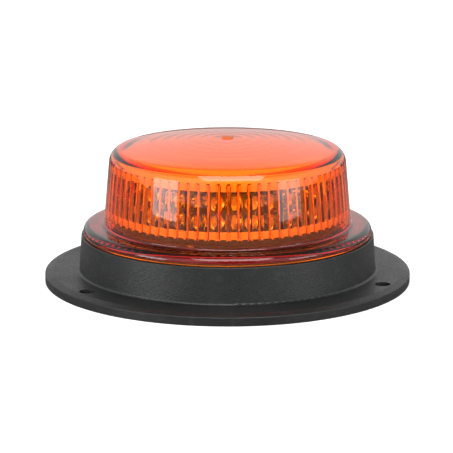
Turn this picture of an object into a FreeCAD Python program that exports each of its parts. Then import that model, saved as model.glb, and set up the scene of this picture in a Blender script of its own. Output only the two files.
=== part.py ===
# Low-profile amber LED warning beacon that bolts down through three holes in its flange.
# The origin is the centre of the underside and +Z points up through the dome. Sizes are in millimetres.
import FreeCAD, Part

import math
import os
import re
import sys

from FreeCAD import Placement, Rotation, Vector
from Sketcher import Constraint

sizes = {
    # base housing: flange
    "flange_width": 15.4, "flange_top": 4.8, "rim_drop": 1.0, "rim_slope": 3.4, "rim_round": 0.4,
    "lip_width": 3.0, "core_gap": 2.9, "core_depth": 2.0, "rib_width": 1.6, "rib_count": 36,
    "bolt_inset": 7.5, "bolt_hole": 3.5, "bolt_wall": 3.5, "bolt_count": 3,
    # base housing: drum
    "wall_foot": 67.1, "wall_draft": 1.2, "wall_top": 21.0, "wall_thick": 3.0, "foot_round": 1.0,
    "floor_under": 1.5, "floor_thick": 3.0, "recess_inset": 9.6, "upstand_thick": 3.4,
    "seal_inset": 0.5, "seal_width": 5.0, "seal_thick": 2.0,
    # lens joint
    "screw_inset": 9.7, "screw_count": 6, "tower_wall": 1.3, "boss_radius": 2.8, "boss_foot": 12.3,
    "boss_gap": 0.3, "gasket_thick": 1.6, "thread_radius": 1.5, "thread_gap": 0.03, "shank_gap": 0.2,
    "head_radius": 2.9, "head_height": 2.2, "head_seat": 7.0, "head_gap": 0.4, "screw_length": 13.0,
    "pilot_past": 1.0,
    # lens
    "lens_step": 0.9, "lens_rise": 1.0, "lens_flange_thick": 3.6, "lens_edge_round": 1.4,
    "lens_gap": 0.3, "lens_lip_width": 2.0, "dome_inset": 11.5, "dome_foot_rise": 1.4,
    "dome_draft": 2.9, "dome_crown": 5.1, "dome_top": 64.4, "dome_round": 6.5,
    "dome_cove": 1.2, "lens_thick": 2.6, "nub_radius": 2.6, "nub_height": 0.5,
    "flute_low": 2.5, "flute_high": 4.8, "flute_width": 2.0, "flute_depth": 0.9, "flute_count": 72,
    # cable grommet and breather vent in the floor
    "cable_radius": 3.2, "grommet_wall": 2.8, "grommet_lip": 1.8, "grommet_lip_thick": 1.3,
    "grommet_sleeve": 1.6, "grommet_top": 2.8, "grommet_taper": 0.6,
    "vent_circle": 28.0, "vent_stem": 3.0, "vent_cap": 1.6, "vent_cap_thick": 1.1, "vent_catch": 0.3,
    "vent_taper": 0.4, "vent_tip": 1.1, "fit_gap": 0.05,
    # driver board on its bosses
    "board_gap": 6.7, "board_thick": 1.6, "board_seat": 9.5, "board_window": 7.5, "post_gap": 7.0,
    "post_count": 3, "post_wall": 2.35, "post_bore": 1.25, "post_bore_floor": 1.0, "board_hole": 1.6,
    "spacer_flats": 5.5, "spacer_stud": 1.2, "spacer_stud_length": 3.5, "spacer_tap": 6.0,
    "spreader_room": 1.5,
    # aluminium spreader and LED tower
    "spreader_gap": 8.7, "spreader_thick": 2.0, "spreader_head": 2.5, "spreader_head_height": 1.6,
    "spreader_screw_length": 4.0, "core_flats": 48.0, "core_bore": 14.0, "core_height": 27.0,
    "led_board_width": 19.0, "led_board_thick": 1.6, "led_board_rise": 0.4, "led_board_drop": 1.0,
    "led_side": 3.0, "led_thick": 0.8, "led_low": 10.0, "led_pitch": 8.0, "led_across": 7.6,
    "optic_gap": 0.3, "optic_throat": 1.5, "optic_mouth": 3.6, "optic_length": 5.6,
    "optic_plate_thick": 1.2, "optic_side_gap": 0.8, "optic_edge": 1.0, "optic_leg": 1.2,
    "cap_gap": 4.6, "cap_height": 5.5, "cap_wall": 2.0, "cap_edge": 1.8, "cap_seat": 20.0, "cap_hub": 6.0,
    "cap_hub_length": 8.0,
    "bolt_radius": 2.0, "bolt_head": 3.8, "bolt_head_height": 2.4, "bolt_tip": 1.0,
    "washer_radius": 5.0, "washer_thick": 0.8,
    # lower reflector dish
    "dish_gap": 2.6, "dish_seat": 2.8, "dish_rim_gap": 2.8, "dish_angle": 24.6, "dish_thick": 1.2,
    "dish_skirt": 4.0,
    # parts on the driver board
    "can_radius": 4.0, "can_height": 8.4, "can_circle": 24.0, "can_groove": 0.6, "coil_ring": 4.4,
    "coil_wire": 2.0, "coil_lift": 0.5, "coil_seat": 1.2, "coil_circle": 22.0, "chip_side": 7.0,
    "chip_thick": 1.2, "chip_lift": 0.2, "chip_leg": 1.0, "chip_leg_width": 0.4, "chip_leg_pitch": 0.8,
    "switch_width": 6.6, "switch_depth": 6.1, "switch_thick": 2.3, "tab_depth": 1.4, "tab_thick": 0.5,
    "terminal_width": 15.0, "terminal_depth": 8.0, "terminal_height": 8.6, "terminal_way": 5.0,
    "terminal_inset": 4.0, "wire_hole": 1.4, "wire_lift": 1.2, "header_width": 12.0, "header_depth": 4.5,
    "header_height": 6.0, "header_wall": 0.8, "header_inset": 4.0, "diode_length": 4.6, "diode_width": 2.6,
    "diode_thick": 2.2, "diode_leg": 0.6,
    # how far a raised feature starts inside its base, and how far a cut runs past it
    "sink_depth": 0.5, "cut_past": 1.0,
}

# sizes and places that follow from the ones above, because something else fits there
fits = {
    "flange_radius": "(wall_foot + flange_width)",
    "rim_top": "(flange_top - rim_drop)",
    "core_inner": "(wall_foot + core_gap)",
    "bolt_circle": "(flange_radius - bolt_inset)",
    "bolt_boss": "(bolt_hole + bolt_wall)",
    "wall_rim": "(wall_foot - wall_draft)",
    "floor_top": "(floor_under + floor_thick)",
    "seal_outer": "(wall_foot - seal_inset)",
    "seal_inner": "(seal_outer - seal_width)",
    "recess_radius": "(seal_inner - recess_inset)",
    "screw_circle": "(wall_foot - screw_inset)",
    "upstand_outer": "(screw_circle + upstand_thick / 2)",
    "upstand_inner": "(screw_circle - upstand_thick / 2)",
    "upstand_top": "(flange_under - gasket_thick)",
    "tower_radius": "(boss_radius + boss_gap + tower_wall)",
    "boss_cavity": "(boss_radius + boss_gap)",
    "screw_end": "(head_seat + screw_length)",
    "lens_radius": "(wall_rim - lens_step)",
    "lens_lip_foot": "(wall_top + lens_gap)",
    "flange_under": "(wall_top + lens_rise)",
    "lens_flange_top": "(flange_under + lens_flange_thick)",
    "dome_foot": "(wall_foot - dome_inset)",
    "dome_shoulder": "(dome_foot - dome_draft)",
    "dome_foot_height": "(lens_flange_top + dome_foot_rise)",
    "dome_shoulder_height": "(dome_top - dome_crown)",
    "flute_foot": "(dome_foot_height + flute_low)",
    "flute_head": "(dome_shoulder_height - flute_high)",
    "grommet_neck": "(cable_radius + grommet_wall)",
    "grommet_rim": "(grommet_neck + grommet_lip)",
    "post_radius": "(post_bore + post_wall)",
    "board_radius": "(upstand_inner - board_gap)",
    "board_top": "(board_seat + board_thick)",
    "spreader_seat": "(board_top + can_height + spreader_room)",
    "spreader_radius": "(upstand_inner - spreader_gap)",
    "tower_foot": "(spreader_seat + spreader_thick)",
    "core_top": "(tower_foot + core_height)",
    "cap_top": "(core_top + cap_height)",
    "cap_radius": "(dome_foot - lens_thick - cap_gap)",
    "board_face": "(core_flats / 2 + led_board_thick)",
    "led_board_foot": "(tower_foot + led_board_rise)",
    "led_board_height": "(core_height - led_board_rise - led_board_drop)",
    "optic_seat": "(board_face + led_thick + optic_gap)",
    "optic_plate_width": "(2 * (optic_seat + optic_length) * tan(22.5) - 2 * optic_side_gap)",
    "optic_plate_foot": "(tower_foot + led_low - optic_mouth - optic_edge)",
    "optic_plate_height": "(led_pitch + 2 * (optic_mouth + optic_edge))",
    "dish_seat_inner": "(board_face + dish_gap)",
    "dish_seat_outer": "(dish_seat_inner + dish_seat)",
    "dish_outer": "(dome_foot - lens_thick - dish_rim_gap)",
    "dish_inner": "(dish_outer - dish_thick)",
    "post_circle": "(dish_seat_outer + post_gap)",
}

facetCount = 8
facetAngle = 360 / facetCount
ledRows = 2
ledColumns = 3

doc = FreeCAD.newDocument("warning_beacon")
sheet = doc.addObject("Spreadsheet::Sheet", "Sizes")
for row, (alias, size) in enumerate(sizes.items(), 1):
    sheet.set(f"A{row}", alias)
    sheet.set(f"B{row}", str(size))
    sheet.setAlias(f"B{row}", alias)
doc.recompute()

nodes = []


def linked(text):
    """The same formula with each fit written out and each size read from the sheet."""
    def spelt(word):
        return linked(fits[word.group()]) if word.group() in fits else "Sizes." + word.group()
    return re.sub(r"[a-z]+(_[a-z]+)+", spelt, text)


def value(text):
    """What a formula comes to with the sheet's present sizes."""
    return float(sheet.evalExpression(linked(text)))


def bind(item, **formulas):
    """Binds properties of a feature to formulas on the sheet, with x, y and z for its place."""
    for name, text in formulas.items():
        item.setExpression(".Placement.Base." + name if name in ("x", "y", "z") else name, linked(text))
    return item


def turn(angle):
    """The placement of something turned about the beacon's axis."""
    return Placement(Vector(), Rotation(Vector(0, 0, 1), angle))


# ---- sketches and features of PartDesign bodies

def newBody(name):
    body = doc.addObject("PartDesign::Body", name)
    body.Label = name
    nodes.append(body)
    return body


def originOf(body, role):
    return next(item for item in body.Origin.OriginFeatures if item.Role == role)


def place(sketch, geometry, point, x, y):
    """Holds one point of a sketch at a formula in each direction."""
    for kind, axis, text in (("DistanceX", -2, x), ("DistanceY", -1, y)):
        if text == "0":
            sketch.addConstraint(Constraint("PointOnObject", geometry, point, axis))
        else:
            index = sketch.addConstraint(Constraint(kind, -1, 1, geometry, point, value(text)))
            sketch.setExpression(f"Constraints[{index}]", linked(text))


def crownArc(start, end):
    """An arc centred on the vertical axis between two points, drawn from its lower to its upper end."""
    low, high = sorted((start, end), key=lambda point: point.y)
    centre = Vector(0, (high.Length ** 2 - low.Length ** 2) / (2 * (high.y - low.y)), 0)
    circle = Part.Circle(centre, Vector(0, 0, 1), (low - centre).Length)
    return Part.ArcOfCircle(circle, circle.parameter(low), circle.parameter(high))


def outline(body, name, corners, crowns=(), axis=None):
    """A closed outline through corners, each an (x, y) pair of formulas. The sides listed in crowns are
    arcs centred on the vertical axis. An axis formula adds an upright construction line there."""
    sketch = body.newObject("Sketcher::SketchObject", name)
    sketch.AttachmentSupport = [(originOf(body, "XZ_Plane"), "")]
    sketch.MapMode = "FlatFace"
    points = [Vector(value(x), value(y), 0) for x, y in corners]
    backwards = []
    for i, start in enumerate(points):
        end = points[(i + 1) % len(points)]
        if i in crowns:
            sketch.addGeometry(crownArc(start, end), False)
            sketch.addConstraint(Constraint("PointOnObject", i, 3, -2))
            if start.y > end.y:
                backwards.append(i)
        else:
            sketch.addGeometry(Part.LineSegment(start, end), False)
    for i in range(len(points)):
        after = (i + 1) % len(points)
        last = 1 if i in backwards else 2
        first = 2 if after in backwards else 1
        sketch.addConstraint(Constraint("Coincident", i, last, after, first))
    for i, (x, y) in enumerate(corners):
        place(sketch, i, 2 if i in backwards else 1, x, y)
    if axis is not None:
        at = value(axis)
        line = sketch.addGeometry(Part.LineSegment(Vector(at, 0, 0), Vector(at, 10, 0)), True)
        place(sketch, line, 1, axis, "0")
        sketch.addConstraint(Constraint("Vertical", line))
        sketch.addConstraint(Constraint("DistanceY", line, 1, line, 2, 10))
    return sketch


def circle(body, name, radius, x="0", y="0", z="0"):
    """A circle sketch on the XY plane, raised to a height."""
    sketch = body.newObject("Sketcher::SketchObject", name)
    sketch.AttachmentSupport = [(originOf(body, "XY_Plane"), "")]
    sketch.MapMode = "FlatFace"
    sketch.setExpression(".AttachmentOffset.Base.z", linked(z))
    centre = Vector(value(x), value(y), 0)
    ring = sketch.addGeometry(Part.Circle(centre, Vector(0, 0, 1), value(radius)), False)
    index = sketch.addConstraint(Constraint("Radius", ring, value(radius)))
    sketch.setExpression(f"Constraints[{index}]", linked(radius))
    place(sketch, ring, 3, x, y)
    return sketch


def revolve(body, name, sketch, groove=False, about="V_Axis"):
    """A full turn of a sketch about its vertical axis, or about its construction line."""
    feature = body.newObject("PartDesign::Groove" if groove else "PartDesign::Revolution", name)
    feature.Profile = sketch
    feature.ReferenceAxis = (sketch, [about])
    feature.Angle = 360
    return feature


def raised(body, name, sketch, length, pocket=False, reverse=False):
    """A pad or a pocket of a sketch by a formula's length."""
    feature = body.newObject("PartDesign::Pocket" if pocket else "PartDesign::Pad", name)
    feature.Profile = sketch
    feature.Reversed = reverse
    return bind(feature, Length=length)


def around(body, name, features, count):
    """Repeats features evenly about the beacon's axis."""
    doc.recompute()
    feature = body.newObject("PartDesign::PolarPattern", name)
    feature.Originals = features
    feature.Axis = (originOf(body, "Z_Axis"), [""])
    feature.Angle = 360
    bind(feature, Occurrences=count)
    body.Tip = feature
    return feature


def rounded(body, name, radius, *rings):
    """Fillets the circular edges that have the radius and height of each (radius, height) pair."""
    doc.recompute()
    wanted = [(value(r), value(z)) for r, z in rings]
    found = []
    for index, edge in enumerate(body.Tip.Shape.Edges, 1):
        ring = edge.Length / (2 * math.pi), edge.Vertexes[0].Z
        if edge.isClosed() and any(math.dist(ring, at) < 1e-3 for at in wanted):
            found.append(f"Edge{index}")
    base = body.Tip
    fillet = body.newObject("PartDesign::Fillet", name)
    fillet.Base = (base, found)
    return bind(fillet, Radius=radius)


# ---- primitives

def cylinder(radius, height, x="0", y="0", z="0"):
    return bind(doc.addObject("Part::Cylinder", "rod"), Radius=radius, Height=height, x=x, y=y, z=z)


def cone(lower, upper, height, x="0", y="0", z="0", lying=False):
    item = bind(doc.addObject("Part::Cone", "taper"), Radius1=lower, Radius2=upper, Height=height)
    if lying:
        item.Placement.Rotation = Rotation(Vector(0, 1, 0), 90)
    return bind(item, x=x, y=y, z=z)


def block(long, wide, tall, x="0", y="0", z="0"):
    """A box that stands on z and has x at its near face and y along its middle."""
    item = bind(doc.addObject("Part::Box", "block"), Length=long, Width=wide, Height=tall)
    return bind(item, x=x, y=f"{y} - ({wide}) / 2", z=z)


def fused(name, items, angle=0):
    """One solid made of several primitives."""
    item = doc.addObject("Part::MultiFuse", name)
    item.Shapes = items
    item.Refine = True
    item.Placement = turn(angle)
    return item


def less(name, base, tools, angle=0):
    """A solid with one or more others cut away from it."""
    item = doc.addObject("Part::Cut", name)
    item.Base = base
    item.Tool = tools[0] if len(tools) == 1 else fused(name + "_tools", tools)
    item.Placement = turn(angle)
    return item


def group(name, items, angle=0):
    """Several separate solids kept as one node."""
    item = doc.addObject("Part::Compound", name)
    item.Links = items
    item.Placement = turn(angle)
    return item


def node(item):
    item.Label = item.Name
    nodes.append(item)
    return item


def evenly(count):
    """The angles of a number of things spread about the axis."""
    return [i * 360 / count for i in range(count)]


# ---- base housing

def makeBaseHousing():
    body = newBody("base_housing")
    shell = outline(body, "shell_outline", [
        ("0", "floor_under"),
        ("recess_radius", "floor_under"),
        ("recess_radius", "0"),
        ("seal_inner", "0"),
        ("seal_inner", "seal_thick"),
        ("seal_outer", "seal_thick"),
        ("seal_outer", "0"),
        ("core_inner", "0"),
        ("core_inner", "core_depth"),
        ("flange_radius - lip_width", "core_depth"),
        ("flange_radius - lip_width", "0"),
        ("flange_radius", "0"),
        ("flange_radius", "rim_top"),
        ("flange_radius - rim_slope", "flange_top"),
        ("wall_foot", "flange_top"),
        ("wall_rim", "wall_top"),
        ("wall_rim - wall_thick", "wall_top"),
        ("wall_foot - wall_thick", "floor_top"),
        ("upstand_outer", "floor_top"),
        ("upstand_outer", "upstand_top"),
        ("upstand_inner", "upstand_top"),
        ("upstand_inner", "floor_top"),
        ("0", "floor_top"),
    ])
    revolve(body, "shell", shell)
    rounded(body, "foot_fillet", "foot_round", ("wall_foot", "flange_top"))
    rounded(body, "rim_fillet", "rim_round", ("flange_radius", "rim_top"), ("wall_rim", "wall_top"))

    rib = outline(body, "rib_outline", [
        ("core_inner - sink_depth", "0"),
        ("flange_radius - lip_width + sink_depth", "0"),
        ("flange_radius - lip_width + sink_depth", "core_depth + sink_depth"),
        ("core_inner - sink_depth", "core_depth + sink_depth"),
    ])
    ribPad = raised(body, "rib", rib, "rib_width")
    ribPad.SideType = "Symmetric"
    around(body, "ribs", [ribPad], "rib_count")

    boss = raised(body, "bolt_boss", circle(body, "bolt_boss_ring", "bolt_boss", "0", "bolt_circle"),
                  "core_depth + sink_depth")
    around(body, "bolt_bosses", [boss], "bolt_count")
    hole = raised(body, "bolt_hole", circle(body, "bolt_hole_ring", "bolt_hole", "0", "bolt_circle"),
                  "flange_top + cut_past", pocket=True, reverse=True)
    around(body, "bolt_holes", [hole], "bolt_count")

    towerRing = circle(body, "tower_ring", "tower_radius", "screw_circle", "0", "floor_top - sink_depth")
    tower = raised(body, "tower", towerRing, "upstand_top - floor_top + sink_depth")
    around(body, "towers", [tower], "screw_count")
    bore = outline(body, "tower_bore_outline", [
        ("screw_circle", "-cut_past"),
        ("screw_circle + head_radius + head_gap", "-cut_past"),
        ("screw_circle + head_radius + head_gap", "head_seat"),
        ("screw_circle + thread_radius + shank_gap", "head_seat"),
        ("screw_circle + thread_radius + shank_gap", "boss_foot - boss_gap"),
        ("screw_circle + boss_cavity", "boss_foot - boss_gap"),
        ("screw_circle + boss_cavity", "upstand_top + cut_past"),
        ("screw_circle", "upstand_top + cut_past"),
    ], axis="screw_circle")
    boreCut = revolve(body, "tower_bore", bore, groove=True, about="Axis0")
    around(body, "tower_bores", [boreCut], "screw_count")

    postRing = circle(body, "post_ring", "post_radius", "post_circle", "0", "floor_top - sink_depth")
    post = raised(body, "post", postRing, "board_seat - floor_top + sink_depth")
    around(body, "posts", [post], "post_count")
    boreFoot = "floor_top + post_bore_floor"
    boreRing = circle(body, "post_bore_ring", "post_bore", "post_circle", "0", boreFoot)
    postBore = raised(body, "post_bore", boreRing, f"board_seat - ({boreFoot}) + cut_past", pocket=True,
                      reverse=True)
    around(body, "post_bores", [postBore], "post_count")

    for name, radius, x in (("cable_hole", "grommet_neck", "0"), ("vent_hole", "vent_stem", "-vent_circle")):
        ring = circle(body, name + "_ring", radius, x)
        raised(body, name, ring, "floor_top + cut_past", pocket=True, reverse=True)
        doc.recompute()


def makeBaseSeal():
    body = newBody("base_seal")
    revolve(body, "ring", outline(body, "ring_outline", [
        ("seal_inner", "0"),
        ("seal_outer", "0"),
        ("seal_outer", "seal_thick"),
        ("seal_inner", "seal_thick"),
    ]))


def makeCableGrommet():
    body = newBody("cable_grommet")
    revolve(body, "sleeve", outline(body, "sleeve_outline", [
        ("cable_radius", "floor_under - grommet_lip_thick"),
        ("grommet_rim", "floor_under - grommet_lip_thick"),
        ("grommet_rim", "floor_under"),
        ("grommet_neck", "floor_under"),
        ("grommet_neck", "floor_top"),
        ("grommet_rim", "floor_top"),
        ("grommet_rim - grommet_taper", "floor_top + grommet_lip_thick"),
        ("cable_radius + grommet_sleeve", "floor_top + grommet_lip_thick"),
        ("cable_radius + grommet_sleeve", "floor_top + grommet_lip_thick + grommet_top"),
        ("cable_radius", "floor_top + grommet_lip_thick + grommet_top"),
    ]))


def makeBreatherVent():
    body = newBody("breather_vent")
    revolve(body, "plug", outline(body, "plug_outline", [
        ("vent_circle", "floor_under - vent_cap_thick"),
        ("vent_circle + vent_stem + vent_cap", "floor_under - vent_cap_thick"),
        ("vent_circle + vent_stem + vent_cap", "floor_under"),
        ("vent_circle + vent_stem - fit_gap", "floor_under"),
        ("vent_circle + vent_stem - fit_gap", "floor_top"),
        ("vent_circle + vent_stem + vent_catch", "floor_top"),
        ("vent_circle + vent_stem - vent_taper", "floor_top + vent_tip"),
        ("vent_circle", "floor_top + vent_tip"),
    ], axis="vent_circle"), about="Axis0")
    body.Placement = turn(180)


# ---- lens, its gasket and its screws

def makeLens():
    body = newBody("lens")
    revolve(body, "shell", outline(body, "shell_outline", [
        ("0", "dome_top - lens_thick"),
        ("0", "dome_top"),
        ("dome_shoulder", "dome_shoulder_height"),
        ("dome_foot", "dome_foot_height"),
        ("dome_foot", "lens_flange_top"),
        ("lens_radius", "lens_flange_top"),
        ("lens_radius", "lens_lip_foot"),
        ("lens_radius - lens_lip_width", "lens_lip_foot"),
        ("lens_radius - lens_lip_width", "flange_under"),
        ("dome_foot - lens_thick", "flange_under"),
        ("dome_foot - lens_thick", "dome_foot_height"),
        ("dome_shoulder - lens_thick", "dome_shoulder_height - lens_thick"),
    ], crowns=(1, 11)))
    rounded(body, "shoulder_fillet", "dome_round", ("dome_shoulder", "dome_shoulder_height"))
    rounded(body, "inner_shoulder_fillet", "dome_round - lens_thick",
            ("dome_shoulder - lens_thick", "dome_shoulder_height - lens_thick"))
    rounded(body, "edge_fillet", "lens_edge_round", ("lens_radius", "lens_flange_top"))
    rounded(body, "cove_fillet", "dome_cove", ("dome_foot", "lens_flange_top"))

    nub = raised(body, "nub", circle(body, "nub_ring", "nub_radius", z="dome_top - lens_thick / 2"),
                 "lens_thick / 2 + nub_height")
    doc.recompute()

    drop = "(dome_foot - dome_shoulder) / (dome_shoulder_height - dome_foot_height)"
    foot = f"dome_foot - lens_thick - {drop} * (flute_foot - dome_foot_height)"
    head = f"dome_foot - lens_thick - {drop} * (flute_head - dome_foot_height)"
    flute = raised(body, "flute", outline(body, "flute_outline", [
        (f"{foot} - flute_depth", "flute_foot"),
        (f"{foot} + sink_depth", "flute_foot"),
        (f"{head} + sink_depth", "flute_head"),
        (f"{head} - flute_depth", "flute_head"),
    ]), "flute_width")
    flute.SideType = "Symmetric"
    around(body, "flutes", [flute], "flute_count")

    boss = revolve(body, "boss", outline(body, "boss_outline", [
        ("screw_circle", "boss_foot"),
        ("screw_circle + boss_radius", "boss_foot"),
        ("screw_circle + boss_radius", "flange_under + sink_depth"),
        ("screw_circle", "flange_under + sink_depth"),
    ], axis="screw_circle"), about="Axis0")
    around(body, "bosses", [boss], "screw_count")
    pilot = revolve(body, "pilot", outline(body, "pilot_outline", [
        ("screw_circle", "boss_foot - cut_past"),
        ("screw_circle + thread_radius + thread_gap", "boss_foot - cut_past"),
        ("screw_circle + thread_radius + thread_gap", "screw_end + pilot_past"),
        ("screw_circle", "screw_end + pilot_past"),
    ], axis="screw_circle"), groove=True, about="Axis0")
    around(body, "pilots", [pilot], "screw_count")


def makeLensGasket():
    body = newBody("lens_gasket")
    revolve(body, "ring", outline(body, "ring_outline", [
        ("upstand_inner", "upstand_top"),
        ("upstand_outer", "upstand_top"),
        ("upstand_outer", "flange_under"),
        ("upstand_inner", "flange_under"),
    ]))
    doc.recompute()
    earRing = circle(body, "ear_ring", "tower_radius", "screw_circle", "0", "upstand_top")
    around(body, "ears", [raised(body, "ear", earRing, "gasket_thick")], "screw_count")
    holeRing = circle(body, "hole_ring", "boss_cavity", "screw_circle", "0", "upstand_top")
    hole = raised(body, "hole", holeRing, "gasket_thick + cut_past", pocket=True, reverse=True)
    around(body, "holes", [hole], "screw_count")


def makeLensScrews():
    body = newBody("lens_screws")
    body.AllowCompound = True
    screw = revolve(body, "screw", outline(body, "screw_outline", [
        ("screw_circle", "head_seat - head_height + 1"),
        ("screw_circle + thread_radius * 0.6", "head_seat - head_height + 1"),
        ("screw_circle + thread_radius * 0.6", "head_seat - head_height"),
        ("screw_circle + head_radius * 0.8", "head_seat - head_height"),
        ("screw_circle + head_radius", "head_seat - head_height * 0.6"),
        ("screw_circle + head_radius", "head_seat"),
        ("screw_circle + thread_radius", "head_seat"),
        ("screw_circle + thread_radius", "screw_end - 1"),
        ("screw_circle + thread_radius * 0.4", "screw_end"),
        ("screw_circle", "screw_end"),
    ], axis="screw_circle"), about="Axis0")
    around(body, "screws", [screw], "screw_count")


# ---- driver board, its parts and its spacers

def makeDriverBoard():
    body = newBody("driver_board")
    revolve(body, "disc", outline(body, "disc_outline", [
        ("board_window", "board_seat"),
        ("board_radius", "board_seat"),
        ("board_radius", "board_top"),
        ("board_window", "board_top"),
    ]))
    doc.recompute()
    ring = circle(body, "hole_ring", "board_hole", "post_circle", "0", "board_seat")
    hole = raised(body, "hole", ring, "board_thick + cut_past", pocket=True, reverse=True)
    around(body, "holes", [hole], "post_count")


def makeBoardSpacers():
    spacers = []
    for angle in evenly(sizes["post_count"]):
        hexagon = doc.addObject("Part::Prism", "hexagon")
        hexagon.Polygon = 6
        bind(hexagon, Circumradius="spacer_flats / 2 / cos(30)", Height="spreader_seat - board_top",
             x="post_circle", z="board_top")
        stud = cylinder("spacer_stud", "board_thick + spacer_stud_length + sink_depth", "post_circle", "0",
                        "board_seat - spacer_stud_length")
        tapped = cylinder("post_bore", "spacer_tap + cut_past", "post_circle", "0",
                          "spreader_seat - spacer_tap")
        spacers.append(less("spacer", fused("spacer_body", [hexagon, stud]), [tapped], angle))
    node(group("board_spacers", spacers))


def makeCapacitors():
    cans = []
    for angle in (152, 178, 204):
        can = cylinder("can_radius", "can_height - can_groove", "can_circle", "0", "board_top + can_groove")
        foot = cylinder("can_radius * 0.85", "can_groove + sink_depth", "can_circle", "0", "board_top")
        cans.append(fused("can", [can, foot], angle))
    node(group("capacitors", cans))


def makeCoils():
    coils = []
    for angle in (52, 88):
        ring = bind(doc.addObject("Part::Torus", "winding"), Radius1="coil_ring", Radius2="coil_wire",
                    x="coil_circle", z="board_top + coil_wire + coil_lift")
        seat = cylinder("coil_ring + coil_wire / 2", "coil_seat", "coil_circle", "0", "board_top")
        coils.append(fused("coil", [ring, seat], angle))
    node(group("power_coils", coils))


def makeControllerChip():
    parts = [block("chip_side", "chip_side", "chip_thick", "can_circle - chip_side / 2", "0",
                   "board_top + chip_lift")]
    for side in (-1, 1):
        for i in range(-3, 4):
            parts.append(block("chip_leg_width", "chip_leg + sink_depth", "chip_lift * 2",
                               f"can_circle + {i} * chip_leg_pitch - chip_leg_width / 2",
                               f"{side} * (chip_side + chip_leg) / 2", "board_top"))
    node(fused("controller_chip", parts, 296))


def makePowerSwitches():
    switches = []
    for angle in (322, 342):
        case = block("switch_depth", "switch_width", "switch_thick", "can_circle", "0", "board_top")
        tab = block("tab_depth + sink_depth", "switch_width * 0.8", "tab_thick", "can_circle - tab_depth",
                    "0", "board_top")
        switches.append(fused("switch", [case, tab], angle))
    node(group("power_switches", switches))


def makeDiodes():
    diodes = []
    for angle in (111, 123, 135):
        case = block("diode_length", "diode_width", "diode_thick", "can_circle - diode_length / 2", "0",
                     "board_top + chip_lift")
        ends = block("diode_length + 2 * diode_leg", "diode_width / 2", "chip_lift * 2",
                     "can_circle - diode_length / 2 - diode_leg", "0", "board_top")
        diodes.append(fused("diode", [case, ends], angle))
    node(group("diodes", diodes))


def makeSupplyTerminal():
    near = "board_window + terminal_inset"
    case = block("terminal_depth", "terminal_width", "terminal_height", near, "0", "board_top")
    holes = []
    for i in (-1, 0, 1):
        at = f"{i} * terminal_way"
        holes.append(block("terminal_depth / 2 + cut_past", "wire_hole * 2", "wire_hole * 2",
                           near + " - cut_past", at, "board_top + wire_lift"))
        holes.append(cylinder("wire_hole", "wire_hole + cut_past", near + " + terminal_depth / 2", at,
                              "board_top + terminal_height - wire_hole"))
    node(less("supply_terminal", case, holes, 246))


def makeLedHeader():
    near = "post_circle - header_inset"
    case = block("header_depth", "header_width", "header_height", near, "0", "board_top")
    mouth = block("header_depth - 2 * header_wall", "header_width - 2 * header_wall", "header_height",
                  near + " + header_wall", "0", "board_top + header_wall")
    node(less("led_header", case, [mouth], 180))


# ---- spreader, tower, LEDs and optics

def makeHeatSpreader():
    body = newBody("heat_spreader")
    revolve(body, "disc", outline(body, "disc_outline", [
        ("bolt_radius + fit_gap", "spreader_seat"),
        ("spreader_radius", "spreader_seat"),
        ("spreader_radius", "tower_foot"),
        ("bolt_radius + fit_gap", "tower_foot"),
    ]))
    doc.recompute()
    ring = circle(body, "hole_ring", "board_hole", "post_circle", "0", "spreader_seat")
    hole = raised(body, "hole", ring, "spreader_thick + cut_past", pocket=True, reverse=True)
    around(body, "holes", [hole], "post_count")


def makeSpreaderScrews():
    body = newBody("spreader_screws")
    body.AllowCompound = True
    screw = revolve(body, "screw", outline(body, "screw_outline", [
        ("post_circle", "spreader_seat - spreader_screw_length"),
        ("post_circle + spacer_stud", "spreader_seat - spreader_screw_length"),
        ("post_circle + spacer_stud", "tower_foot"),
        ("post_circle + spreader_head", "tower_foot"),
        ("post_circle + spreader_head", "tower_foot + spreader_head_height * 0.6"),
        ("post_circle + spreader_head * 0.8", "tower_foot + spreader_head_height"),
        ("post_circle", "tower_foot + spreader_head_height"),
    ], axis="post_circle"), about="Axis0")
    around(body, "screws", [screw], "post_count")


def makeHeatSinkCore():
    prism = doc.addObject("Part::Prism", "octagon")
    prism.Polygon = facetCount
    prism.Placement = turn(facetAngle / 2)
    bind(prism, Circumradius="core_flats / 2 / cos(22.5)", Height="core_height", z="tower_foot")
    bore = cylinder("core_bore", "core_height + 2 * cut_past", z="tower_foot - cut_past")
    node(less("heat_sink_core", prism, [bore]))


def ledSpots():
    """Across and up the places of one facet's LEDs."""
    for row in range(ledRows):
        for column in range(ledColumns):
            yield f"{column - (ledColumns - 1) / 2} * led_across", f"tower_foot + led_low + {row} * led_pitch"


def makeLedBoard(number):
    plate = block("led_board_thick", "led_board_width", "led_board_height", "core_flats / 2", "0",
                  "led_board_foot")
    tab = block("led_board_thick", "led_board_width / 3", "led_board_rise + sink_depth", "core_flats / 2",
                "0", "tower_foot")
    node(fused(f"led_board_{number + 1}", [plate, tab], number * facetAngle))


def makeLeds():
    facets = []
    for number in range(facetCount):
        leds = [block("led_thick", "led_side", "led_side", "board_face", across, f"{up} - led_side / 2")
                for across, up in ledSpots()]
        facets.append(group("facet_leds", leds, number * facetAngle))
    node(group("leds", facets))


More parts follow.
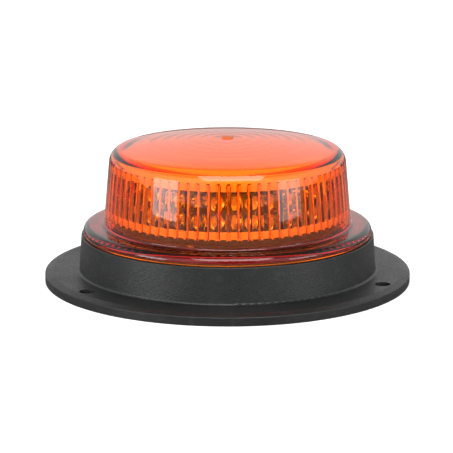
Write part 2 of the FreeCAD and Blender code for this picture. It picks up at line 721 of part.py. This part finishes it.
def makeLedOptic(number):
    """A moulded strip of collimators: a cone in front of each LED, a front plate and four legs."""
    front = "optic_seat + optic_length"
    parts = [block("optic_plate_thick", "optic_plate_width", "optic_plate_height", front, "0",
                   "optic_plate_foot")]
    for across, up in ledSpots():
        parts.append(cone("optic_throat", "optic_mouth", "optic_length + optic_plate_thick / 2",
                          "optic_seat", across, up, lying=True))
    for side in (-1, 1):
        for up in ("optic_plate_foot", "optic_plate_foot + optic_plate_height - optic_leg"):
            parts.append(block(f"{front} - board_face + optic_plate_thick / 2", "optic_leg", "optic_leg",
                               "board_face", f"{side} * (led_board_width - optic_leg) / 2", up))
    node(fused(f"led_optic_{number + 1}", parts, number * facetAngle))


def makeLowerReflector():
    body = newBody("lower_reflector")
    revolve(body, "dish", outline(body, "dish_outline", [
        ("dish_seat_inner", "tower_foot"),
        ("dish_seat_outer", "tower_foot"),
        ("dish_inner", "tower_foot + (dish_inner - dish_seat_outer) * tan(dish_angle)"),
        ("dish_inner", "tower_foot + dish_skirt"),
        ("dish_outer", "tower_foot + dish_skirt"),
        ("dish_outer", "tower_foot + (dish_outer - dish_seat_outer) * tan(dish_angle) + dish_thick"),
        ("dish_seat_outer", "tower_foot + dish_thick"),
        ("dish_seat_inner", "tower_foot + dish_thick"),
    ]))


def makeTowerCap():
    body = newBody("tower_cap")
    revolve(body, "disc", outline(body, "disc_outline", [
        ("0", "core_top"),
        ("bolt_radius + fit_gap", "core_top"),
        ("bolt_radius + fit_gap", "core_top - cap_hub_length"),
        ("cap_hub", "core_top - cap_hub_length"),
        ("cap_hub", "core_top"),
        ("cap_seat", "core_top"),
        ("cap_seat", "cap_top - cap_wall"),
        ("cap_radius - cap_wall", "cap_top - cap_wall"),
        ("cap_radius - cap_wall", "core_top"),
        ("cap_radius", "core_top"),
        ("cap_radius", "cap_top"),
        ("0", "cap_top"),
    ]))
    rounded(body, "edge_fillet", "cap_edge", ("cap_radius", "cap_top"))


def makeTowerBolt():
    body = newBody("tower_bolt")
    seat = "spreader_seat - washer_thick"
    revolve(body, "bolt", outline(body, "bolt_outline", [
        ("0", "core_top - bolt_tip"),
        ("bolt_radius", "core_top - bolt_tip"),
        ("bolt_radius", seat),
        ("bolt_head", seat),
        ("bolt_head", seat + " - bolt_head_height * 0.6"),
        ("bolt_head * 0.8", seat + " - bolt_head_height"),
        ("bolt_radius * 0.7", seat + " - bolt_head_height"),
        ("bolt_radius * 0.7", seat + " - bolt_head_height / 2"),
        ("0", seat + " - bolt_head_height / 2"),
    ]))


def makeTowerWasher():
    body = newBody("tower_washer")
    revolve(body, "ring", outline(body, "ring_outline", [
        ("bolt_radius + fit_gap", "spreader_seat - washer_thick"),
        ("washer_radius", "spreader_seat - washer_thick"),
        ("washer_radius", "spreader_seat"),
        ("bolt_radius + fit_gap", "spreader_seat"),
    ]))


makeBaseHousing()
makeBaseSeal()
makeCableGrommet()
makeBreatherVent()
makeLens()
makeLensGasket()
makeLensScrews()
makeDriverBoard()
makeBoardSpacers()
makeCapacitors()
makeCoils()
makeControllerChip()
makePowerSwitches()
makeDiodes()
makeSupplyTerminal()
makeLedHeader()
makeHeatSpreader()
makeSpreaderScrews()
makeHeatSinkCore()
for facet in range(facetCount):
    makeLedBoard(facet)
makeLeds()
for facet in range(facetCount):
    makeLedOptic(facet)
makeLowerReflector()
makeTowerCap()
makeTowerBolt()
makeTowerWasher()
doc.recompute()

faults = [f"{item.Name}: {item.State}" for item in doc.Objects if {"Invalid", "Error"} & set(item.State)]
for item in nodes:
    if item.Shape.isNull() or not item.Shape.isValid():
        faults.append(f"{item.Name}: bad shape")
if faults:
    print("\n".join(faults))
    sys.exit(1)

os.makedirs("parts", exist_ok=True)
for item in nodes:
    item.Shape.exportStep(f"parts/{item.Label}.step")
    print(f"{item.Label}: {len(item.Shape.Solids)} solids, {item.Shape.Volume:.1f} mm3")
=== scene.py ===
import math

import bmesh
import bpy
from mathutils import Matrix, Vector


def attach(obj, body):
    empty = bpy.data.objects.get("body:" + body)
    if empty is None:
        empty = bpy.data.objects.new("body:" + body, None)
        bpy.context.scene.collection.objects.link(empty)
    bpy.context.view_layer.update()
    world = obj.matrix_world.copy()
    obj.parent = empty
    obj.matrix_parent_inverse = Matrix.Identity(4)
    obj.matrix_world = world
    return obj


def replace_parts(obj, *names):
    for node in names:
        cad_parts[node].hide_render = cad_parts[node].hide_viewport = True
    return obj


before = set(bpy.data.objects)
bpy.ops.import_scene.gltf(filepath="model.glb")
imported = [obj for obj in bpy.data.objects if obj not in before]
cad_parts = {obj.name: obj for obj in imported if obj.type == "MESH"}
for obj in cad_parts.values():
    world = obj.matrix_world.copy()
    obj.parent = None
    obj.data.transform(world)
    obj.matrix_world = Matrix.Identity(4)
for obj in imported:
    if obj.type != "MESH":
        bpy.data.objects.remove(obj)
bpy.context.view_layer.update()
print("frame loaded:", len(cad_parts), "nodes")


# shader maths

class Signal:
    # a socket that can be used in a plain expression
    def __init__(self, graph, socket):
        self.graph = graph
        self.socket = socket

    def maths(self, operation, *values):
        return self.graph.add("ShaderNodeMath", {"operation": operation}, dict(enumerate(values)))

    def __add__(self, other):
        return self.maths("ADD", self, other)

    __radd__ = __add__

    def __sub__(self, other):
        return self.maths("SUBTRACT", self, other)

    def __rsub__(self, other):
        return self.maths("SUBTRACT", other, self)

    def __mul__(self, other):
        return self.maths("MULTIPLY", self, other)

    __rmul__ = __mul__

    def ramp(self, low, high, start=0.0, end=1.0):
        # straight from start to end while the signal goes from low to high, and level outside
        sockets = {0: self, 1: low, 2: high, 3: start, 4: end}
        return self.graph.add("ShaderNodeMapRange", {"clamp": True}, sockets)


class Graph:
    def __init__(self, tree):
        self.tree = tree
        self.tree.nodes.clear()

    def add(self, kind, settings=None, sockets=None, output=0):
        node = self.tree.nodes.new(kind)
        for name, setting in (settings or {}).items():
            setattr(node, name, setting)
        for name, value in (sockets or {}).items():
            if isinstance(value, Signal):
                self.tree.links.new(value.socket, node.inputs[name])
            else:
                node.inputs[name].default_value = value
        if not node.outputs:
            return None
        return Signal(self, node.outputs[output])

    def place(self):
        return self.add("ShaderNodeTexCoord", output="Object")

    def noise(self, scale, detail=2.0):
        sockets = {"Vector": self.place(), "Scale": scale, "Detail": detail}
        return self.add("ShaderNodeTexNoise", None, sockets)

    def cells(self, scale):
        sockets = {"Vector": self.place(), "Scale": scale}
        return self.add("ShaderNodeTexVoronoi", None, sockets, "Distance")

    def colours(self, factor, first, second):
        return self.add("ShaderNodeMix", {"data_type": "RGBA"}, {0: factor, 6: first, 7: second}, 2)

    def bump(self, height, strength, distance):
        sockets = {"Height": height, "Strength": strength, "Distance": distance}
        return self.add("ShaderNodeBump", None, sockets)

    def lightingThrough(self, body, tint):
        # clear, with a tint, to the rays that look for lamps
        clear = self.add("ShaderNodeBsdfTransparent", None, {"Color": tint})
        isShadow = self.add("ShaderNodeLightPath", output="Is Shadow Ray")
        return self.add("ShaderNodeMixShader", None, {0: isShadow, 1: body, 2: clear})

    def finish(self, shader, volume=None):
        sockets = {"Surface": shader}
        if volume:
            sockets["Volume"] = volume
        self.add("ShaderNodeOutputMaterial", None, sockets)

    def principled(self, sockets):
        self.finish(self.add("ShaderNodeBsdfPrincipled", None, sockets))


def newMaterial(name):
    material = bpy.data.materials.new(name)
    material.use_nodes = True
    return material, Graph(material.node_tree)


def grey(level):
    return (level, level, level, 1)


# finishes

housingFinish = {
    "colour": (0.008, 0.0087, 0.0085, 1), "worn": (0.024, 0.026, 0.025, 1), "roughness": 0.42,
    "grainScale": 1500, "grainDepth": 0.00013, "speckScale": 1000, "shine": 0.62,
    "cloudScale": 60, "rubScale": 240, "grainStrength": 0.55,
}


def makeHousingPlastic():
    # black moulding with a spark-eroded grain that catches light in small specks
    f = housingFinish
    material, graph = newMaterial("housing_plastic")
    grain = graph.noise(f["grainScale"], 3)
    specks = graph.cells(f["speckScale"])
    clouds = graph.noise(f["cloudScale"], 4)
    rubbed = graph.noise(f["rubScale"], 5).ramp(0.56, 0.72)
    colour = graph.colours(rubbed * 0.5 + clouds.ramp(0.3, 0.8) * 0.3, f["colour"], f["worn"])
    roughness = f["roughness"] + grain.ramp(0.35, 0.65, -0.08, 0.1) + clouds.ramp(0.3, 0.7, -0.05, 0.05)
    graph.principled({
        "Base Color": colour,
        "Roughness": roughness,
        "Specular IOR Level": f["shine"],
        "Normal": graph.bump(grain + specks * 0.6, f["grainStrength"], f["grainDepth"]),
    })
    return material


amberFinish = {
    "ior": 1.585, "roughness": 0.012, "shadow": (0.93, 0.93, 0.93, 1),
    "absorbed": (0.993, 0.7, 0.1, 1), "density": 1000,
    "flowScale": 90, "flowDepth": 0.0004, "dustScale": 700,
}


def makeAmberLens():
    # clear amber polycarbonate: it bends light, colours it with depth, and lets the lamps shine in
    f = amberFinish
    material, graph = newMaterial("amber_lens")
    flow = graph.noise(f["flowScale"], 2)
    dust = graph.noise(f["dustScale"], 4).ramp(0.55, 0.75)
    body = graph.add("ShaderNodeBsdfPrincipled", None, {
        "Base Color": (1, 1, 1, 1),
        "Roughness": f["roughness"] + dust * 0.03,
        "IOR": f["ior"],
        "Transmission Weight": 1.0,
        "Normal": graph.bump(flow, 0.04, f["flowDepth"]),
    })
    volume = graph.add("ShaderNodeVolumeAbsorption", None, {"Color": f["absorbed"], "Density": f["density"]})
    graph.finish(graph.lightingThrough(body, f["shadow"]), volume)
    return material


opticFinish = {"tint": (1.0, 0.93, 0.8, 1), "ior": 1.49, "roughness": 0.05, "shadow": (0.9, 0.9, 0.9, 1)}


def makeOpticPlastic():
    f = opticFinish
    material, graph = newMaterial("optic_plastic")
    haze = graph.noise(500, 3).ramp(0.4, 0.7)
    body = graph.add("ShaderNodeBsdfPrincipled", None, {
        "Base Color": graph.colours(haze * 0.4, (1, 1, 1, 1), f["tint"]),
        "Roughness": f["roughness"] + haze * 0.08,
        "IOR": f["ior"],
        "Transmission Weight": 1.0,
    })
    graph.finish(graph.lightingThrough(body, f["shadow"]))
    return material


def makeRubber():
    material, graph = newMaterial("seal_rubber")
    bloom = graph.noise(180, 5).ramp(0.45, 0.75)
    pores = graph.noise(3200, 2)
    graph.principled({
        "Base Color": graph.colours(bloom * 0.6, (0.014, 0.014, 0.015, 1), (0.05, 0.05, 0.048, 1)),
        "Roughness": 0.72 + bloom * 0.15,
        "Normal": graph.bump(pores, 0.4, 0.0001),
    })
    return material


def makeVentPlastic():
    material, graph = newMaterial("vent_plastic")
    mottle = graph.noise(400, 4)
    graph.principled({
        "Base Color": graph.colours(mottle.ramp(0.35, 0.65), (0.16, 0.17, 0.18, 1), (0.22, 0.23, 0.24, 1)),
        "Roughness": mottle.ramp(0.3, 0.7, 0.4, 0.55),
        "Normal": graph.bump(graph.noise(4000), 0.3, 0.00005),
    })
    return material


metalFinishes = {
    "screw_steel": {"light": (0.62, 0.6, 0.56, 1), "dark": (0.36, 0.35, 0.34, 1), "roughness": 0.26},
    "spacer_brass": {"light": (0.78, 0.58, 0.25, 1), "dark": (0.5, 0.33, 0.13, 1), "roughness": 0.22},
    "can_aluminium": {"light": (0.84, 0.84, 0.85, 1), "dark": (0.6, 0.61, 0.63, 1), "roughness": 0.28},
    "tower_aluminium": {"light": (0.8, 0.81, 0.82, 1), "dark": (0.52, 0.53, 0.55, 1), "roughness": 0.34},
    "coil_winding": {"light": (0.72, 0.3, 0.12, 1), "dark": (0.36, 0.12, 0.05, 1), "roughness": 0.3},
}


def makeMetal(name):
    f = metalFinishes[name]
    material, graph = newMaterial(name)
    tarnish = graph.noise(350, 5)
    lines = graph.noise(9000, 2)
    graph.principled({
        "Base Color": graph.colours(tarnish.ramp(0.4, 0.75), f["light"], f["dark"]),
        "Metallic": 1.0,
        "Roughness": tarnish.ramp(0.3, 0.8, f["roughness"] - 0.06, f["roughness"] + 0.2),
        "Normal": graph.bump(lines, 0.25, 0.00003),
    })
    return material


def makeCircuitBoard():
    # green mask over copper tracks, with bare pads showing here and there
    material, graph = newMaterial("circuit_board")
    tracks = graph.cells(260).ramp(0.05, 0.09, 1, 0)
    pads = graph.cells(420).ramp(0.1, 0.13, 1, 0)
    mask = graph.colours(tracks, (0.01, 0.09, 0.035, 1), (0.02, 0.16, 0.06, 1))
    graph.principled({
        "Base Color": graph.colours(pads * 0.8, mask, (0.75, 0.74, 0.7, 1)),
        "Metallic": pads * 0.8,
        "Roughness": 0.32 + graph.noise(900, 3) * 0.12,
        "Normal": graph.bump(tracks + pads, 0.4, 0.00005),
    })
    return material


mouldedFinishes = {
    "chip_plastic": {"light": (0.03, 0.03, 0.032, 1), "dark": (0.015, 0.015, 0.016, 1), "roughness": 0.5},
    "terminal_plastic": {"light": (0.05, 0.26, 0.11, 1), "dark": (0.03, 0.18, 0.08, 1), "roughness": 0.38},
    "header_plastic": {"light": (0.82, 0.8, 0.74, 1), "dark": (0.7, 0.67, 0.6, 1), "roughness": 0.42},
    "frosted_amber": {"light": (0.75, 0.17, 0.02, 1), "dark": (0.6, 0.1, 0.012, 1), "roughness": 0.45},
    "led_board": {"light": (0.045, 0.045, 0.048, 1), "dark": (0.02, 0.02, 0.022, 1), "roughness": 0.4},
}


def makeMoulded(name):
    f = mouldedFinishes[name]
    material, graph = newMaterial(name)
    mottle = graph.noise(600, 4)
    graph.principled({
        "Base Color": graph.colours(mottle.ramp(0.35, 0.7), f["light"], f["dark"]),
        "Roughness": f["roughness"] + mottle.ramp(0.3, 0.7, -0.06, 0.08),
        "Normal": graph.bump(graph.noise(5200, 2), 0.3, 0.00004),
    })
    return material


def makeLedPackage():
    # yellow phosphor under silicone
    material, graph = newMaterial("led_package")
    grains = graph.noise(5000, 3)
    graph.principled({
        "Base Color": graph.colours(grains.ramp(0.35, 0.65), (0.86, 0.62, 0.08, 1), (0.95, 0.78, 0.25, 1)),
        "Roughness": 0.25 + grains * 0.2,
        "Coat Weight": 0.6,
        "Coat Roughness": 0.08,
        "Normal": graph.bump(grains, 0.2, 0.00003),
    })
    return material


def makeWhiteReflector():
    material, graph = newMaterial("white_reflector")
    mottle = graph.noise(300, 4)
    graph.principled({
        "Base Color": graph.colours(mottle.ramp(0.35, 0.7), (0.9, 0.9, 0.88, 1), (0.8, 0.8, 0.78, 1)),
        "Roughness": mottle.ramp(0.3, 0.7, 0.3, 0.42),
        "Normal": graph.bump(graph.noise(3500, 2), 0.2, 0.00004),
    })
    return material


finishes = {
    "housing_plastic": makeHousingPlastic(),
    "amber_lens": makeAmberLens(),
    "seal_rubber": makeRubber(),
    "vent_plastic": makeVentPlastic(),
    "circuit_board": makeCircuitBoard(),
    "led_package": makeLedPackage(),
    "optic_plastic": makeOpticPlastic(),
    "white_reflector": makeWhiteReflector(),
}
for name in metalFinishes:
    finishes[name] = makeMetal(name)
for name in mouldedFinishes:
    finishes[name] = makeMoulded(name)

finishOfNode = {
    "base_housing": "housing_plastic", "base_seal": "seal_rubber", "cable_grommet": "seal_rubber",
    "breather_vent": "vent_plastic", "lens": "amber_lens", "lens_gasket": "seal_rubber",
    "lens_screws": "screw_steel", "driver_board": "circuit_board", "board_spacers": "spacer_brass",
    "capacitors": "can_aluminium", "power_coils": "coil_winding", "controller_chip": "chip_plastic",
    "power_switches": "chip_plastic", "diodes": "chip_plastic", "supply_terminal": "terminal_plastic",
    "led_header": "header_plastic", "heat_spreader": "tower_aluminium", "spreader_screws": "screw_steel",
    "heat_sink_core": "tower_aluminium", "leds": "led_package", "lower_reflector": "white_reflector",
    "tower_cap": "white_reflector", "tower_bolt": "screw_steel", "tower_washer": "screw_steel",
}
for name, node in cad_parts.items():
    kind = finishOfNode.get(name) or ("led_board" if name.startswith("led_board") else "optic_plastic")
    node.data.materials.clear()
    node.data.materials.append(finishes[kind])
print("finishes made:", len(finishes))


# modelling helpers; sections are drawn in millimetres and made metres at the end

sharpAngle = math.radians(38)
mergeDistance = 0.0005
millimetre = 0.001


def closedSection(shape, corners):
    # a face in the XZ plane through (radius, height, rounding) corners, each rounded by that much
    verts = [shape.verts.new((radius, 0, height)) for radius, height, rounding in corners]
    shape.faces.new(verts)
    for vert, (radius, height, rounding) in zip(verts, corners):
        if rounding:
            bmesh.ops.bevel(shape, geom=[vert], offset=rounding, offset_type="OFFSET", segments=8,
                            profile=0.5, affect="VERTICES", material=-1)


def turnSection(shape, steps, angle=2 * math.pi):
    bmesh.ops.delete(shape, geom=shape.faces[:], context="FACES_ONLY")
    bmesh.ops.spin(shape, geom=shape.verts[:] + shape.edges[:], cent=(0, 0, 0), axis=(0, 0, 1),
                   dvec=(0, 0, 0), angle=angle, steps=steps, use_merge=angle == 2 * math.pi)


def copyAround(shape, count):
    first = shape.verts[:] + shape.edges[:] + shape.faces[:]
    for number in range(1, count):
        copied = bmesh.ops.duplicate(shape, geom=first)["geom"]
        bmesh.ops.rotate(shape, cent=(0, 0, 0), matrix=Matrix.Rotation(number * 2 * math.pi / count, 3, "Z"),
                         verts=[item for item in copied if isinstance(item, bmesh.types.BMVert)])


def newPiece(name, shape, finish):
    bmesh.ops.remove_doubles(shape, verts=shape.verts[:], dist=mergeDistance)
    bmesh.ops.scale(shape, vec=[millimetre] * 3, verts=shape.verts[:])
    bmesh.ops.recalc_face_normals(shape, faces=shape.faces[:])
    for face in shape.faces:
        face.smooth = True
    for edge in shape.edges:
        edge.smooth = edge.calc_face_angle(0) < sharpAngle
    mesh = bpy.data.meshes.new(name)
    shape.to_mesh(mesh)
    shape.free()
    piece = bpy.data.objects.new(name, mesh)
    bpy.context.scene.collection.objects.link(piece)
    mesh.materials.append(finishes[finish])
    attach(piece, "root")
    print("piece:", name, len(mesh.polygons), "faces")
    return piece


# lens

lensSizes = {
    "flangeRadius": 65.0, "lipFoot": 21.3, "lipWidth": 2.0, "flangeUnder": 22.0, "flangeTop": 25.6,
    "domeFoot": 55.6, "domeFootHeight": 27.0, "shoulder": 52.7, "shoulderHeight": 59.3, "top": 64.4,
    "crownRadii": range(2, 46, 4), "shoulderRound": 4.9, "footRound": 1.2, "flangeRound": 3.0,
    "lipRound": 0.25, "thick": 2.6, "shoulderDrop": 2.18, "shoulderSpread": 0.18, "mouthRound": 0.3,
    "bevelFoot": 56.1, "bevelFootRound": 1.2, "bevelTop": 44.5, "bevelTopRound": 2.5,
    "ringRadii": (8, 13.5, 19, 24.5, 30, 35.5), "ringStep": 0.028, "ringWidth": 0.9,
    "ribFoot": 29.5, "ribHead": 54.0, "ribDepth": 0.9, "ribCount": 72, "stepsPerRib": 12,
    "ribEnd": 0.9, "ribEndSteps": (-0.05, 0, 0.15, 0.45, 0.9), "ribFlanks": {0: 1.0, 1: 0.7, 2: 0.35},
    "nearWall": 0.01,
    "nubRadius": 2.6, "nubHeight": 0.5, "nubSunk": 0.1, "nubRound": 0.35,
    "bossCircle": 57.4, "bossRadius": 2.8, "bossBore": 1.53, "bossFoot": 12.3, "bossGap": 0.02,
    "bossCount": 6,
}


def crownHeight(radius, edge, edgeHeight, top):
    # height of an arc that is level on the axis and passes through its edge
    sphere = (edge ** 2 + (top - edgeHeight) ** 2) / (2 * (top - edgeHeight))
    return top - sphere + math.sqrt(sphere ** 2 - radius ** 2)


def makeLens():
    s = lensSizes
    innerShoulder = s["shoulder"] - s["thick"] + s["shoulderSpread"]
    innerShoulderHeight = s["shoulderHeight"] - s["shoulderDrop"]
    innerTop = s["top"] - s["thick"]
    innerFoot = s["domeFoot"] - s["thick"]
    slope = (innerShoulder - innerFoot) / (innerShoulderHeight - s["domeFootHeight"])

    def innerWall(height):
        return innerFoot + slope * (height - s["domeFootHeight"])

    def innerCrown(radius):
        return crownHeight(radius, innerShoulder, innerShoulderHeight, innerTop)

    corners = [(0, s["top"], 0)]
    for radius in s["crownRadii"]:
        corners.append((radius, crownHeight(radius, s["shoulder"], s["shoulderHeight"], s["top"]), 0))
    corners += [
        (s["shoulder"], s["shoulderHeight"], s["shoulderRound"]),
        (s["domeFoot"], s["domeFootHeight"], 0),
        (s["domeFoot"], s["flangeTop"], s["footRound"]),
        (s["flangeRadius"], s["flangeTop"], s["flangeRound"]),
        (s["flangeRadius"], s["lipFoot"], s["lipRound"]),
        (s["flangeRadius"] - s["lipWidth"], s["lipFoot"], s["lipRound"]),
        (s["flangeRadius"] - s["lipWidth"], s["flangeUnder"], 0),
        (innerFoot, s["flangeUnder"], s["mouthRound"]),
    ]
    ribHeights = [s["ribFoot"] + step for step in s["ribEndSteps"]]
    ribHeights += [s["ribHead"] - step for step in reversed(s["ribEndSteps"])]
    corners += [(innerWall(height), height, 0) for height in ribHeights]
    corners.append((innerWall(s["bevelFoot"]), s["bevelFoot"], s["bevelFootRound"]))
    corners.append((s["bevelTop"], innerCrown(s["bevelTop"]), s["bevelTopRound"]))
    for ring in reversed(s["ringRadii"]):
        corners.append((ring + s["ringWidth"], innerCrown(ring + s["ringWidth"]), 0))
        corners.append((ring, innerCrown(ring) - s["ringStep"], 0))
        corners.append((ring - s["ringWidth"], innerCrown(ring - s["ringWidth"]), 0))
    corners.append((0, innerTop, 0))
    shape = bmesh.new()
    closedSection(shape, corners)
    pitch = 2 * math.pi / s["ribCount"]
    bmesh.ops.rotate(shape, cent=(0, 0, 0), matrix=Matrix.Rotation(-pitch / 2, 3, "Z"), verts=shape.verts[:])
    turnSection(shape, s["stepsPerRib"], pitch)
    # a rib is a ridge inside the wall, with sloping flanks and rounded ends
    for vert in shape.verts:
        radius = math.hypot(vert.co.x, vert.co.y)
        inside = min(vert.co.z - s["ribFoot"], s["ribHead"] - vert.co.z)
        if abs(radius - innerWall(vert.co.z)) > s["nearWall"] or inside < 0:
            continue
        step = abs(round(math.atan2(vert.co.y, vert.co.x) / pitch * s["stepsPerRib"]))
        end = math.sqrt(1 - (1 - min(inside / s["ribEnd"], 1)) ** 2)
        depth = s["ribDepth"] * s["ribFlanks"].get(step, 0.0) * end
        vert.co.x *= (radius - depth) / radius
        vert.co.y *= (radius - depth) / radius
    copyAround(shape, s["ribCount"])
    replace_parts(newPiece("amber_lens", shape, "amber_lens"), "lens")


def makeGateNub():
    # the frosted stub that the moulding leaves in the middle of the crown
    s = lensSizes
    shape = bmesh.new()
    foot, head = s["top"] - s["nubSunk"], s["top"] + s["nubHeight"]
    closedSection(shape, [
        (0, foot, 0), (0, head, 0), (s["nubRadius"], head, s["nubRound"]), (s["nubRadius"], foot, 0),
    ])
    turnSection(shape, 48)
    newPiece("gate_nub", shape, "frosted_amber")


def makeLensBosses():
    # bored posts that the lens screws hold, one for each screw
    s = lensSizes
    shape = bmesh.new()
    head = s["flangeUnder"] - s["bossGap"]
    closedSection(shape, [
        (s["bossBore"], s["bossFoot"], 0.2), (s["bossRadius"], s["bossFoot"], 0.4),
        (s["bossRadius"], head, 0), (s["bossBore"], head, 0),
    ])
    turnSection(shape, 24)
    bmesh.ops.translate(shape, vec=(s["bossCircle"], 0, 0), verts=shape.verts[:])
    copyAround(shape, s["bossCount"])
    newPiece("lens_bosses", shape, "amber_lens")


# a round yellow phosphor on the face of each LED

phosphorSizes = {
    "face": 26.4, "radius": 1.05, "topRadius": 0.84, "thick": 0.12, "heights": (33, 41),
    "across": (-7.6, 0, 7.6), "boards": 8,
}


def makePhosphors():
    s = phosphorSizes
    shape = bmesh.new()
    for height in s["heights"]:
        for across in s["across"]:
            place = Matrix.Translation((s["face"] + s["thick"] / 2, across, height))
            place @= Matrix.Rotation(math.pi / 2, 4, "Y")
            bmesh.ops.create_cone(shape, cap_ends=True, segments=16, radius1=s["radius"],
                                  radius2=s["topRadius"], depth=s["thick"], matrix=place)
    copyAround(shape, s["boards"])
    newPiece("led_phosphors", shape, "led_package")


# a dark ring round the foot of the reflector's skirt: painted shade, a dark band standing in for the shadow
# low on the skirt

paintedShadeSizes = {"inner": 50.3, "outer": 50.9, "foot": 26.9, "top": 29.6, "round": 0.2}


def makePaintedShadeRing():
    s = paintedShadeSizes
    shape = bmesh.new()
    closedSection(shape, [
        (s["inner"], s["foot"], 0), (s["outer"], s["foot"], s["round"]),
        (s["outer"], s["top"], s["round"]), (s["inner"], s["top"], 0),
    ])
    turnSection(shape, 144)
    # this ring is painted shade in a dark rubber finish, not a real part of the beacon
    newPiece("painted_shade_ring", shape, "seal_rubber")


makeLens()
makeGateNub()
makeLensBosses()
makePhosphors()
makePaintedShadeRing()


# floor, backdrop and lamps

floorSizes = {"half": 1.6, "roughness": 0.9, "seenGrey": 0.93, "seenGlow": 0.45, "unseenGrey": 0.22}


def lookedAt(graph):
    # one where the camera looks, straight or through the lens
    straight = graph.add("ShaderNodeLightPath", output="Is Camera Ray")
    through = graph.add("ShaderNodeLightPath", output="Is Transmission Ray")
    return straight.maths("MAXIMUM", straight, through)


def makeFloor():
    # bright where the camera looks, and dimmer for the light that it throws back
    s = floorSizes
    shape = bmesh.new()
    bmesh.ops.create_grid(shape, x_segments=1, y_segments=1, size=s["half"])
    mesh = bpy.data.meshes.new("floor")
    shape.to_mesh(mesh)
    shape.free()
    floor = bpy.data.objects.new("floor", mesh)
    bpy.context.scene.collection.objects.link(floor)
    material, graph = newMaterial("pale_floor")
    seen = graph.add("ShaderNodeBsdfPrincipled", None, {
        "Base Color": grey(s["seenGrey"]), "Roughness": s["roughness"],
        "Emission Color": grey(1), "Emission Strength": s["seenGlow"],
    })
    unseen = graph.add("ShaderNodeBsdfPrincipled", None, {
        "Base Color": grey(s["unseenGrey"]), "Roughness": s["roughness"],
    })
    graph.finish(graph.add("ShaderNodeMixShader", None, {0: lookedAt(graph), 1: unseen, 2: seen}))
    mesh.materials.append(material)


worldLevels = {
    "back": 0.8, "side": 0.95, "front": 0.06, "above": 0.25,
    "frontEdge": (-0.97, -0.86), "backEdge": (0.1, 0.6), "aboveEdge": (0.45, 0.75),
}


def makeWorld():
    # a pale wall behind, dim towards the camera, and plain white where it is looked at
    f = worldLevels
    world = bpy.data.worlds.new("studio")
    world.use_nodes = True
    bpy.context.scene.world = world
    graph = Graph(world.node_tree)
    direction = graph.add("ShaderNodeTexCoord", output="Generated")
    y = graph.add("ShaderNodeSeparateXYZ", None, {0: direction}, 1)
    z = graph.add("ShaderNodeSeparateXYZ", None, {0: direction}, 2)
    ahead = y.ramp(*f["backEdge"])
    level = y.ramp(*f["frontEdge"], f["front"], f["side"])
    level = level * (1 - ahead) + ahead * f["back"]
    high = z.ramp(*f["aboveEdge"])
    level = level * (1 - high) + high * f["above"]
    seen = lookedAt(graph)
    level = level * (1 - seen) + seen
    colour = graph.add("ShaderNodeCombineXYZ", None, {0: level, 1: level, 2: level})
    background = graph.add("ShaderNodeBackground", None, {"Color": colour})
    graph.add("ShaderNodeOutputWorld", None, {"Surface": background})


cameraSizes = {
    "azimuth": -5.5, "elevation": 13.31, "distance": 0.990, "lens": 174.09, "sensor": 36, "nearest": 0.05,
    "aimAcross": -0.00045, "aimHeight": 0.0235,
}
lampAim = Vector((0, 0, 0.03))
nearLamp = 1.0


def outward(azimuth, elevation):
    # the direction from the part to a camera or a lamp; both angles are in degrees
    a, e = math.radians(azimuth), math.radians(elevation)
    return Vector((math.sin(a) * math.cos(e), -math.cos(a) * math.cos(e), math.sin(e)))


def makeLamp(name, azimuth, elevation, distance, size, radiance, shiny=True, lighting=True):
    # azimuth is from the camera's side towards its right, in degrees; a near lamp isn't seen through the lens
    width, height = size
    back = outward(azimuth + cameraSizes["azimuth"], elevation)
    light = bpy.data.lights.new(name, "AREA")
    light.shape = "RECTANGLE"
    light.size = width
    light.size_y = height
    light.energy = radiance * math.pi * width * height
    lamp = bpy.data.objects.new(name, light)
    bpy.context.scene.collection.objects.link(lamp)
    lamp.location = lampAim + back * distance
    lamp.rotation_euler = back.to_track_quat("Z", "Y").to_euler()
    lamp.visible_camera = False
    lamp.visible_transmission = lighting and distance > nearLamp
    lamp.visible_glossy = shiny
    lamp.visible_diffuse = lighting


def makeCamera():
    s = cameraSizes
    a = math.radians(s["azimuth"])
    back = outward(s["azimuth"], s["elevation"])
    aim = Vector((s["aimAcross"] * math.cos(a), s["aimAcross"] * math.sin(a), s["aimHeight"]))
    camera = bpy.data.objects.new("camera", bpy.data.cameras.new("camera"))
    bpy.context.scene.collection.objects.link(camera)
    camera.data.lens = s["lens"]
    camera.data.sensor_width = s["sensor"]
    camera.data.clip_start = s["nearest"]
    camera.location = aim + back * s["distance"]
    camera.rotation_euler = back.to_track_quat("Z", "Y").to_euler()
    bpy.context.scene.camera = camera


makeFloor()
makeWorld()
makeCamera()
makeLamp("left_box", -57.5, 4.6, 0.45, (0.20, 0.13), 4.2)
makeLamp("right_box", 57, 4.6, 0.45, (0.18, 0.13), 2.5)
makeLamp("front_box", 5, 45, 1.2, (1.15, 0.75), 4.0, lighting=False)
makeLamp("front_fill", 0, 25, 1.2, (2.0, 0.5), 3.9, shiny=False)
makeLamp("back_box", 180, 48, 1.1, (1.4, 0.7), 1.6, shiny=False)
makeLamp("top_box", 0, 80, 1.1, (1.0, 0.8), 0.5, shiny=False)
bpy.context.scene.view_settings.view_transform = "Standard"
print("studio ready")
